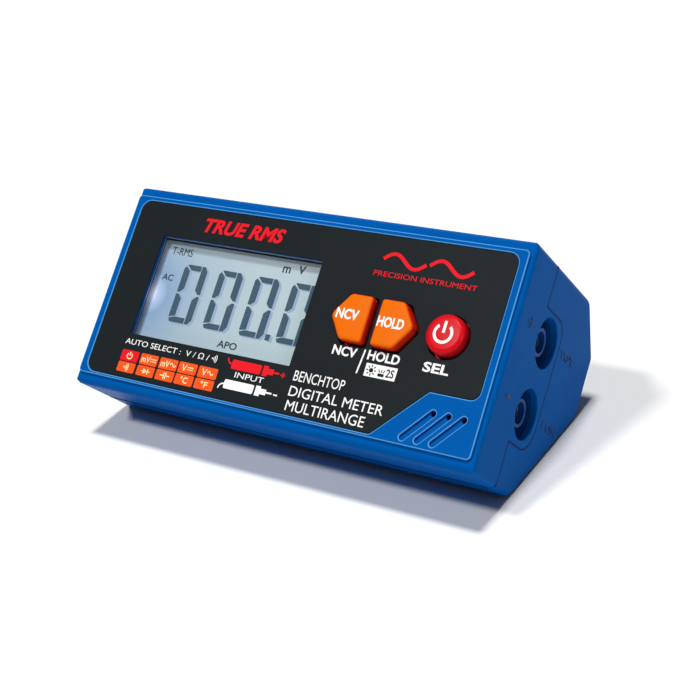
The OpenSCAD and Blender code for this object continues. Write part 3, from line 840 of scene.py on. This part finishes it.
class MULTIMETER_OT_display(bpy.types.Operator):
    """Clear window, lit glass and dark segments of the display"""
    bl_idname = "multimeter.display"
    bl_label = "Display"

    ink_thick = 0.05
    first = (-40.1, 19.6)
    point = (-7.1, 19.6, -5.6, 21.3)
    shadow_shift = (0.9, -0.35, 0)
    glow_middle = (-49.4, 26.5)
    glow_reach = 0.036

    def execute(self, context):
        display = context.scene.multimeter_display
        self.window()
        piece(cad_shape("lcd_glass"), "display_glass", self.lit_glass(display),
              ("lcd_glass",), edge=0.2)
        low, high = GLASS_TOP, GLASS_TOP + self.ink_thick
        shadows = self.segments(display, low, low + SECOND_COAT)
        bmesh.ops.translate(shadows, verts=shadows.verts, vec=self.shadow_shift)
        for shapes, name, ink_name, colour, roughness in (
                (self.segments(display, low, high), "display_segments", "segment ink",
                 tuple(display.segment), 0.5),
                (self.legends(low, high), "display_legends", "legend ink", shade(26, 40, 52), 0.5),
                (shadows, "segment_shadows", "segment shadow", shade(142, 160, 188), 0.6)):
            dark = moulded(ink_name, colour, roughness=roughness, grain=0.2, depth=0.001,
                           drift=0.05, Specular_IOR_Level=0.05)
            piece(shapes, name, dark, place=PANEL)
        return {"FINISHED"}

    def window(self):
        """The clear pane, and dark lines along its top and left edges: painted shadow of the
        opening's walls
        """
        clear = Finish("clear window", Base_Color=(0.95, 0.97, 1, 1), IOR=1.49, Alpha=0.012)
        clear.feed(Roughness=clear.remap(clear.noise(12, detail=3), 0.3, 0.7, 0.03, 0.07))
        piece(cad_shape("display_window"), "display_window_pane", clear.material,
              ("display_window",), edge=0.15)
        left, bottom, right, top = WINDOW
        low, high = LENS_TOP - INK_SINK, LENS_TOP + INK_THICK
        # Painted shadow along the window's top and left edges
        edge_shadow = merged(block(left, top - 0.75, right, top - 0.2, low, high),
                        block(left + 0.2, bottom, left + 0.45, top - 0.2, low, high))
        piece(edge_shadow, "window_edge_shadow", ink("window edge painted shadow", shade(14, 20, 34)),
              place=PANEL)

    def lit_glass(self, display):
        """Glass lit from its left end, cool there and paler to the right"""
        glass = Finish("lit glass", Roughness=0.3, Emission_Strength=0.12, Specular_IOR_Level=0.05)
        away = glass.vector("DISTANCE", PANEL @ Vector((*self.glow_middle, GLASS_TOP)))
        lit = tuple(display.light)
        cool = tuple(display.cool)
        tone = glass.ramp(glass.remap(away, 0.0, self.glow_reach, 0.0, 1.0),
                          (0.0, shade(240, 244, 252)), (0.04, shade(214, 224, 244)),
                          (0.09, shade(164, 184, 214)), (0.18, cool),
                          (0.5, blend_colours(cool, lit, 0.7)), (1.0, lit))
        glass.feed(Base_Color=tone, Emission_Color=tone)
        glass.bump(glass.noise(0.5), 0.002)
        return glass.material

    def segments(self, display, low, high):
        """Digits and the decimal point"""
        width, height, step = (size / MM for size in (display.digit_width, display.digit_height,
                                                      display.digit_step))
        x, y = self.first
        parts = []
        for k in range(display.digits):
            parts += self.zero(x + k * step, y, width, height, low, high)
        return merged(*parts, block(*self.point, low, high))

    def legends(self, low, high):
        """Small words of the display"""
        places = (
            ("T-RMS", (-46.2, 38.8, -39.0, 41.0), 0.0),
            ("AC", (-46.6, 31.0, -42.9, 32.9), 0.012),
            ("m", (-8.4, 38.8, -5.9, 40.6), 0.014),
            ("V", (-3.5, 39.1, -1.3, 41.5), 0.02),
            ("APO", (-21.2, 15.2, -14.8, 17.2), 0.015),
        )
        return merged(*[letters(text, box, low, high - low, weight)
                        for text, box, weight in places])

    def zero(self, x, y, width, height, low, high):
        """Six segments of a zero; the right ones run its full height, the outer corners are cut"""
        stroke, flat, gap, notch = 2.1, 1.6, 0.3, 1.1
        half = height / 2
        inner = width - stroke
        upper = half + gap
        lower = half - gap
        top_left = ((0, upper), (0.9, upper), (stroke, upper + notch),
                    (stroke, height - flat - 0.3), (0.6, height - 0.55), (0, height - 1.3))
        bottom_left = ((0, lower), (0.9, lower), (stroke, lower - notch), (stroke, flat + gap),
                       (0, flat + gap - 0.5))
        right = ((inner, upper + notch), (width - 0.9, upper), (width, upper),
                 (width, height - 1.4), (width - 1.0, height), (inner, height))
        top = ((0.95, height - 0.25), (1.2, height), (inner - gap, height),
               (inner - gap, height - flat), (stroke + 0.35, height - flat))
        bottom = ((0.7, 0), (inner - gap, 0), (inner - gap, flat), (stroke - 0.2, flat),
                  (0.1, flat - 0.6))
        mirrored = tuple((px, height - py) for px, py in right)
        outlines = (top_left, bottom_left, right, mirrored, top, bottom)
        return [slab([(x + px, y + py) for px, py in outline], low, high) for outline in outlines]


# Keys


class MULTIMETER_OT_keys(bpy.types.Operator):
    """Two orange house-shaped keys and the round select key, each with its plunger"""
    bl_idname = "multimeter.keys"
    bl_label = "Keys"

    middle = (26.0, 28.55)
    select_middle = (46.8, 28.6)
    select_mark = (46.1, 28.9)
    rise = 2.0
    cap_shift = (-0.45, 0.3)
    half_len = 12.15
    half_high = 6.25
    point = 4.3
    split = 1.3
    corner_radii = (0.9, 1.6, 1.8, 1.6, 0.9)
    stem_x = 6.2
    stem_radius = 2.2
    select_radius = 5.3
    shoulder = 1.5

    def execute(self, context):
        keys = context.scene.multimeter_keys
        orange = Finish("orange key rubber", Specular_IOR_Level=0.06)
        # Sides darker and redder than the tops, by height above the panel: painted shade
        height = orange.remap(orange.along(OUTWARD, PANEL_ORIGIN), 0.4, self.rise, 0, 1)
        side = tuple(keys.side)
        fine = orange.noise(0.25, detail=3)
        orange.feed(
            Base_Color=orange.ramp(height, (0.0, side), (0.55, side), (0.92, tuple(keys.top))),
            Roughness=orange.remap(fine, 0.3, 0.7, 0.38, 0.5))
        orange.bump(fine, 0.006)
        orange = orange.material
        red = moulded("red key rubber", tuple(keys.select), roughness=0.35, grain=0.25, depth=0.005,
                      drift=0.08, Specular_IOR_Level=0.12)
        white = ink("key ink", shade(250, 248, 242))

        low = self.rise - 0.02
        mark = power_mark(self.select_mark, 2.35, 0.75, low, low + LABEL_THICK)
        names = (("NCV", (76.6, 28.0, 83.2, 30.8)), ("HOLD", (88.9, 27.7, 96.5, 30.5)))
        labels = [letters(text, box_from_left(*box), low, LABEL_THICK, 0.03) for text, box in names]
        rounding = keys.rounding / MM
        for name, cap, label, material, slot in (
                ("ncv_key", self.house_key(-1, rounding), labels[0], orange, "key_orange"),
                ("hold_key", self.house_key(1, rounding), labels[1], orange, "key_orange"),
                ("select_key", self.round_key(), mark, red, "key_red")):
            piece(cap, name + "_cap", material, (name,), name, PANEL)
            piece(label, name + "_label", white, (), name, PANEL)
        return {"FINISHED"}

    def house_key(self, side, rounding):
        """A cap with a pointed outer end, on a flange that keeps it behind the panel"""
        x, y = self.middle
        long, high, split = self.half_len, self.half_high, self.split
        neck = long - self.point
        cap_x, cap_y = x + self.cap_shift[0], y + self.cap_shift[1]
        points = [(split, -high), (neck, -high), (long, 0), (neck, high), (split, high)]
        bm = flat_face([(cap_x + side * px, cap_y + py) for px, py in points], FLANGE_TOP)
        bmesh.ops.recalc_face_normals(bm, faces=bm.faces)
        round_corners(bm, self.corner_radii, 8)
        raise_faces(bm, list(bm.faces), self.rise - FLANGE_TOP)
        bmesh.ops.recalc_face_normals(bm, faces=bm.faces)
        rim = [edge for edge in bm.edges
               if all(abs(vert.co.z - self.rise) < 1e-6 for vert in edge.verts)]
        bmesh.ops.bevel(bm, geom=rim, offset=rounding, offset_type="OFFSET", segments=6,
                        profile=0.5, affect="EDGES", material=-1, clamp_overlap=True)
        wider = high + 0.96
        flange_points = [(split - 0.96, -wider), (neck + 0.6, -wider), (long + 1.2, 0),
                         (neck + 0.6, wider), (split - 0.96, wider)]
        flange = slab([(x + side * px, y + py) for px, py in flange_points], KEY_FOOT, FLANGE_TOP,
                      self.corner_radii, 5)
        stem = disc((x + side * self.stem_x, y), self.stem_radius, STEM_END, KEY_FOOT)
        return merged(bm, flange, stem)

    def round_key(self):
        """Turned cap with a soft shoulder, on its flange and stem"""
        radius, shoulder, stem = self.select_radius, self.shoulder, self.stem_radius
        curve = [(self.rise - shoulder * (1 - sin(a)), radius - shoulder * (1 - cos(a)))
                 for a in (pi / 2 * k / 7 for k in range(8))]
        profile = [(STEM_END, 0), (STEM_END, stem), (KEY_FOOT, stem), (KEY_FOOT, radius + 1.2),
                   (FLANGE_TOP, radius + 1.2), (FLANGE_TOP, radius), *curve, (self.rise, 0)]
        x, y = self.select_middle
        middle = Matrix.Translation((x + self.cap_shift[0], y + self.cap_shift[1], 0))
        return moved(lathe(profile, 72), middle @ Matrix.Rotation(-pi / 2, 4, "Y"))


# Jacks


class MULTIMETER_OT_jacks(bpy.types.Operator):
    """Shrouded 4 mm jacks in the right end, with nuts on their tails"""
    bl_idname = "multimeter.jacks"
    bl_label = "Jacks"

    cup_radii = (8.0, 6.75)
    boss_radii = (3.85, 2.8)
    sleeve_radii = (2.75, 2.0)
    tail_radius = 1.5
    floor = 1.6
    setback = 2.3

    def execute(self, context):
        case = context.scene.multimeter_case
        # The cups' own blue, darkened with painted shade of the deep recesses
        blue = moulded("jack plastic", tuple(case.jack_colour), roughness=0.4, grain=0.3,
                       depth=0.01, Specular_IOR_Level=0.15)
        # Its own plated metal, painted darker as shade in the deep jack holes
        brass = metal("nickel plated brass with painted shade", shade(96, 98, 104), 0.35)
        outer, inner = self.cup_radii
        boss, hole = self.boss_radii
        sleeve_out, sleeve_in = self.sleeve_radii
        back, front = (corner.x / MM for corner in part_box("positive_jack_shroud"))
        bed = back + self.floor
        rim = END_MM - self.setback
        through = self.tail_radius + 0.05
        wall = [(back, through), (back, outer), (rim, outer), (rim, inner), (bed, inner),
                (bed, boss), (front, boss), (front, hole), (bed, hole), (bed, through)]
        for k, name in enumerate(("positive_jack", "common_jack")):
            shift = Matrix.Translation((0, JACK_UP + (0.5 - k) * JACK_PITCH, -JACK_DEEP))
            piece(moved(lathe(wall, 72), shift), name + "_cup", blue,
                  (name + "_shroud",), place=PANEL, edge=0.25, segments=3)
            tail, mouth = (corner.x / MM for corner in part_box(name + "_sleeve"))
            sleeve = [(tail, 0), (tail, self.tail_radius), (bed, self.tail_radius),
                      (bed, sleeve_out), (mouth, sleeve_out), (mouth, sleeve_in),
                      (back + 2.8, sleeve_in), (back + 2.8, 0)]
            piece(moved(lathe(sleeve, 48), shift), name + "_socket", brass,
                  (name + "_sleeve",), place=PANEL, edge=0.12)
        piece(cad_shape("jack_nuts"), "jack_hex_nuts", brass, ("jack_nuts",), edge=0.15)
        return {"FINISHED"}


# Batteries


class MULTIMETER_OT_batteries(bpy.types.Operator):
    """Two cells with printed jackets, and the coiled contact that presses them together"""
    bl_idname = "multimeter.batteries"
    bl_label = "Batteries"

    wire = 0.3
    turns = 4.5
    coil_radius = 3.6
    narrowing = 0.38
    plate = 0.45
    band_start = 0.7

    def execute(self, context):
        for name in ("battery_1", "battery_2"):
            self.cell(name)
        steel = metal("spring steel", shade(186, 190, 194), 0.24)
        piece(merged(self.contact(), self.coil()), "battery_coil", steel,
              ("battery_spring",), edge=0.05)
        return {"FINISHED"}

    def cell(self, name):
        """A turned cell; its button end is bare metal, then a copper band and a dark jacket"""
        low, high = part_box(name)
        middle = (low + high) / 2 / MM
        radius = (high.z - low.z) / 2 / MM
        foot, top = low.x / MM, high.x / MM
        shoulder = top - 1.0
        profile = [(foot, 0), (foot, radius * 0.62), (foot + 0.25, radius * 0.7),
                   (foot + 0.25, radius * 0.86), (foot, radius * 0.9), (foot, radius - 0.3),
                   (foot + 0.3, radius), (shoulder - 0.3, radius), (shoulder, radius - 0.3),
                   (shoulder, radius * 0.82), (shoulder - 0.25, radius * 0.78),
                   (shoulder - 0.25, 2.1), (shoulder, 1.9), (top - 0.25, 1.9), (top, 1.65), (top, 0)]
        jacket = Finish(name + " jacket", Specular_IOR_Level=0.4)
        along = jacket.remap(jacket.along(ALONG), foot, top, 0, 1)
        dark, copper, bare = shade(30, 33, 40), shade(178, 106, 52), shade(176, 178, 180)
        band = self.band_start
        scuffs = jacket.noise(1.2, detail=4)
        jacket.feed(
            Base_Color=jacket.ramp(along, (0.0, bare), (0.01, bare), (0.0101, dark), (band, dark),
                                   (band + 0.0001, copper), (0.965, copper), (0.966, bare),
                                   (1.0, bare)),
            Metallic=jacket.ramp(along, (0.0, WHITE), (0.01, WHITE), (0.0101, BLACK),
                                 (band, BLACK), (band + 0.0001, WHITE)),
            Roughness=jacket.remap(scuffs, 0.3, 0.7, 0.22, 0.4))
        jacket.bump(scuffs, 0.004)
        shift = Matrix.Translation((0, middle.y, middle.z))
        piece(moved(lathe(profile, 64), shift), name + "_cell", jacket.material,
              (name,), place=CASE)

    def contact(self):
        """The flat end contact with its tab, kept from the frame without the rings"""
        bm = moved(cad_shape("battery_spring"), CASE.inverted())
        edge_x = min(vert.co.x for vert in bm.verts) + self.plate
        rings = [vert for vert in bm.verts if vert.co.x > edge_x]
        bmesh.ops.delete(bm, geom=rings, context="VERTS")
        return moved(bm, CASE)

    def coil(self):
        """A round wire spun into a coil that narrows towards the cell"""
        low, high = (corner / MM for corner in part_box("battery_spring"))
        cell_low, cell_high = (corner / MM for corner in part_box("battery_1"))
        centre = (cell_low + cell_high) / 2
        start = low.x + self.plate + self.wire
        run = high.x - self.wire - start
        bm = bmesh.new()
        ring = bmesh.ops.create_circle(bm, segments=10, radius=self.wire, cap_ends=False)["verts"]
        upright = Matrix.Rotation(pi / 2, 3, "X")
        bmesh.ops.rotate(bm, verts=ring, cent=(0, 0, 0), matrix=upright)
        bmesh.ops.translate(bm, verts=ring, vec=(start, 0, self.coil_radius))
        steps = int(self.turns * 24)
        bmesh.ops.spin(bm, geom=list(bm.verts) + list(bm.edges), cent=(0, 0, 0), axis=(1, 0, 0),
                       dvec=(run / steps, 0, 0), angle=self.turns * TURN, steps=steps,
                       use_merge=False)
        ends = [edge for edge in bm.edges if edge.is_boundary]
        bmesh.ops.holes_fill(bm, edges=ends, sides=12)
        for vert in bm.verts:
            share = 1 - self.narrowing * (vert.co.x - start) / run
            vert.co.y *= share
            vert.co.z *= share
        bmesh.ops.translate(bm, verts=bm.verts, vec=(0, centre.y, centre.z))
        bmesh.ops.recalc_face_normals(bm, faces=bm.faces)
        return moved(bm, CASE)


# Other parts


class MULTIMETER_OT_plain_parts(bpy.types.Operator):
    """Parts whose shape comes straight from the frame, with softened edges and their own finish"""
    bl_idname = "multimeter.plain_parts"
    bl_label = "Plain parts"

    def execute(self, context):
        steel = metal("zinc plated steel", shade(190, 194, 198), 0.26)
        brass = metal("bright brass", shade(196, 158, 84), 0.25)
        blue = case_plastic("cover plastic", tuple(context.scene.multimeter_case.colour), 0.03)
        rubber = moulded("black rubber", shade(24, 24, 25), roughness=0.75, grain=0.2, depth=0.02)
        board = moulded("solder mask", shade(22, 92, 48), roughness=0.3, grain=0.6, depth=0.01,
                        drift=0.3)
        pink = moulded("contact rubber", shade(214, 128, 134), roughness=0.7, grain=0.15,
                       depth=0.02)
        dark, white, light, amber, sleeve, film, red, black = (
            moulded(name, colour, roughness=roughness) for name, colour, roughness in (
                ("dark moulding", shade(36, 38, 42), 0.5),
                ("white moulding", shade(226, 230, 230), 0.45),
                ("light guide", shade(236, 242, 248), 0.2),
                ("glazed ceramic", shade(206, 158, 52), 0.2),
                ("capacitor sleeve", shade(36, 52, 92), 0.3),
                ("resistor lacquer", shade(74, 120, 168), 0.3),
                ("red lead", shade(196, 26, 30), 0.45),
                ("black lead", shade(26, 26, 28), 0.45)))
        finishes = (
            (blue, "case_blue", 0.2, "battery_cover"),
            (steel, "steel", 0.08, "battery_cover_screw"),
            (steel, "steel", 0.12, "case_screws"),
            (steel, "steel", 0.08, "board_screws"),
            (rubber, "rubber", 0.25, "rubber_feet"),
            (board, "board_green", 0.1, "main_board jack_board"),
            (white, "white_plastic", 0.15, "lcd_frame"),
            (light, "diffuser", 0.15, "backlight_panel"),
            (pink, "strip_pink", 0.1, "contact_strips"),
            (dark, "dark_plastic", 0.15, "tact_switches ncv_plunger hold_plunger select_plunger"),
            (dark, "dark_plastic", 0.08, "board_link"),
            (rubber, "rubber", 0.3, "buzzer"),
            (dark, "dark_plastic", 0.04, "meter_chip"),
            (steel, "steel", 0.2, "crystal"),
            (amber, "amber_ceramic", 0.3, "ptc_thermistor"),
            (film, "resistor_blue", 0.15, "input_resistors"),
            (sleeve, "capacitor_blue", 0.3, "filter_capacitor"),
            (brass, "brass", 0.08, "ncv_antenna"),
            (steel, "steel", 0.08, "battery_plate"),
            (red, "lead_red", 0.0, "battery_lead_red"),
            (black, "lead_black", 0.0, "battery_lead_black"),
        )
        bodies = frame["record"]["behaviour"]["bodies"]
        owners = {name: body for body, names in bodies.items() for name in names}
        for material, slot, edge, names in finishes:
            for name in names.split():
                piece(cad_shape(name), name + "_finished", material, (name,), owners[name],
                      edge=edge, clamp=True)
        return {"FINISHED"}


# Stage


class MULTIMETER_OT_stage(bpy.types.Operator):
    """Pale floor, four soft lamps, even sky and the camera"""
    bl_idname = "multimeter.stage"
    bl_label = "Stage"

    floor_reach = 6

    def execute(self, context):
        studio = context.scene.multimeter_studio
        floor = self.lay_floor(tuple(studio.floor))
        self.lamp("side lamp", studio.side_lamp, (0.318, 0.629, -1), 7)
        self.lamp("top lamp", studio.top_lamp, (0.02, 0.05, -1), 9)
        above_floor = bpy.data.collections.new("not lit by the low lamps")
        above_floor.objects.link(floor)
        above_floor.collection_objects[0].light_linking.link_state = "EXCLUDE"
        for name, strength, direction in (("back lamp", studio.back_lamp, (0.5, -0.73, -0.5)),
                                          ("end lamp", studio.end_lamp, (-0.84, 0.22, -0.49))):
            lamp = self.lamp(name, strength, direction, 12)
            lamp.light_linking.receiver_collection = above_floor
        context.scene.world = self.even_sky(studio.sky)
        context.scene.view_settings.view_transform = "Standard"
        context.scene.camera = self.stand_camera(studio)
        return {"FINISHED"}

    def lay_floor(self, tone):
        """The pale floor"""
        bm = bmesh.new()
        bmesh.ops.create_grid(bm, x_segments=1, y_segments=1, size=self.floor_reach)
        mesh = bpy.data.meshes.new("floor")
        bm.to_mesh(mesh)
        bm.free()
        pale = Finish("pale floor", Roughness=1.0, Specular_IOR_Level=0.0)
        lighter = blend_colours(tone, WHITE, 0.1)
        pale.feed(Base_Color=pale.ramp(pale.noise(60), (0.0, tone), (1.0, lighter)))
        mesh.materials.append(pale.material)
        floor = bpy.data.objects.new("floor", mesh)
        bpy.context.scene.collection.objects.link(floor)
        return floor

    def even_sky(self, strength):
        """Even light all round, seen as white behind the object"""
        world = bpy.data.worlds.new("even sky")
        world.use_nodes = True
        tree = world.node_tree
        light = tree.nodes["Background"]
        light.inputs["Color"].default_value = WHITE
        light.inputs["Strength"].default_value = strength
        seen = tree.nodes.new("ShaderNodeBackground")
        seen.inputs["Color"].default_value = WHITE
        either = tree.nodes.new("ShaderNodeMixShader")
        seen_directly = tree.nodes.new("ShaderNodeLightPath").outputs["Is Camera Ray"]
        tree.links.new(seen_directly, either.inputs["Fac"])
        tree.links.new(light.outputs[0], either.inputs[1])
        tree.links.new(seen.outputs[0], either.inputs[2])
        tree.links.new(either.outputs[0], tree.nodes["World Output"].inputs["Surface"])
        return world

    def stand_camera(self, studio):
        """The camera, aimed and rolled"""
        data = bpy.data.cameras.new("camera")
        data.lens = studio.lens
        data.sensor_width = 36
        data.clip_start = 0.01
        data.clip_end = 50
        camera = bpy.data.objects.new("camera", data)
        bpy.context.scene.collection.objects.link(camera)
        camera.location = studio.place
        look = (Vector(studio.aim) - Vector(studio.place)).to_track_quat("-Z", "Y")
        camera.rotation_mode = "QUATERNION"
        camera.rotation_quaternion = look @ Quaternion((0, 0, 1), studio.roll)
        return camera

    def lamp(self, name, strength, direction, spread):
        """A distant lamp shining along a direction; spread is its softness in degrees"""
        data = bpy.data.lights.new(name, "SUN")
        data.energy = strength
        data.angle = radians(spread)
        lamp = bpy.data.objects.new(name, data)
        bpy.context.scene.collection.objects.link(lamp)
        lamp.rotation_mode = "QUATERNION"
        lamp.rotation_quaternion = Vector(direction).to_track_quat("-Z", "Y")
        return lamp


class MULTIMETER_PT_panel(bpy.types.Panel):
    """Lists the multimeter's pieces in the sidebar"""
    bl_idname = "MULTIMETER_PT_panel"
    bl_label = "Bench multimeter"
    bl_space_type = "VIEW_3D"
    bl_region_type = "UI"
    bl_category = "Multimeter"

    def draw(self, context):
        for operator in OPERATORS:
            self.layout.operator(operator.bl_idname)
        for group in SETTINGS:
            box = self.layout.box()
            box.label(text=group.__doc__)
            settings = getattr(context.scene, SETTINGS[group])
            for name in group.__annotations__:
                box.prop(settings, name)


SETTINGS = {
    CaseSettings: "multimeter_case",
    PanelSettings: "multimeter_panel",
    DisplaySettings: "multimeter_display",
    KeySettings: "multimeter_keys",
    StudioSettings: "multimeter_studio",
}
OPERATORS = (
    MULTIMETER_OT_shells,
    MULTIMETER_OT_end_marks,
    MULTIMETER_OT_film,
    MULTIMETER_OT_film_print,
    MULTIMETER_OT_display,
    MULTIMETER_OT_keys,
    MULTIMETER_OT_jacks,
    MULTIMETER_OT_batteries,
    MULTIMETER_OT_plain_parts,
    MULTIMETER_OT_stage,
)
CLASSES = (*SETTINGS, *OPERATORS, MULTIMETER_PT_panel)


def register():
    """Adds the settings, operators and sidebar panel"""
    for cls in CLASSES:
        bpy.utils.register_class(cls)
    for group, name in SETTINGS.items():
        setattr(bpy.types.Scene, name, PointerProperty(type=group))


def unregister():
    """Takes them away again"""
    for name in SETTINGS.values():
        delattr(bpy.types.Scene, name)
    for cls in reversed(CLASSES):
        bpy.utils.unregister_class(cls)


def main():
    """Builds every group of pieces"""
    register()
    for operator in OPERATORS:
        group, name = operator.bl_idname.split(".")
        getattr(getattr(bpy.ops, group), name)()


if __name__ == "__main__":
    main()
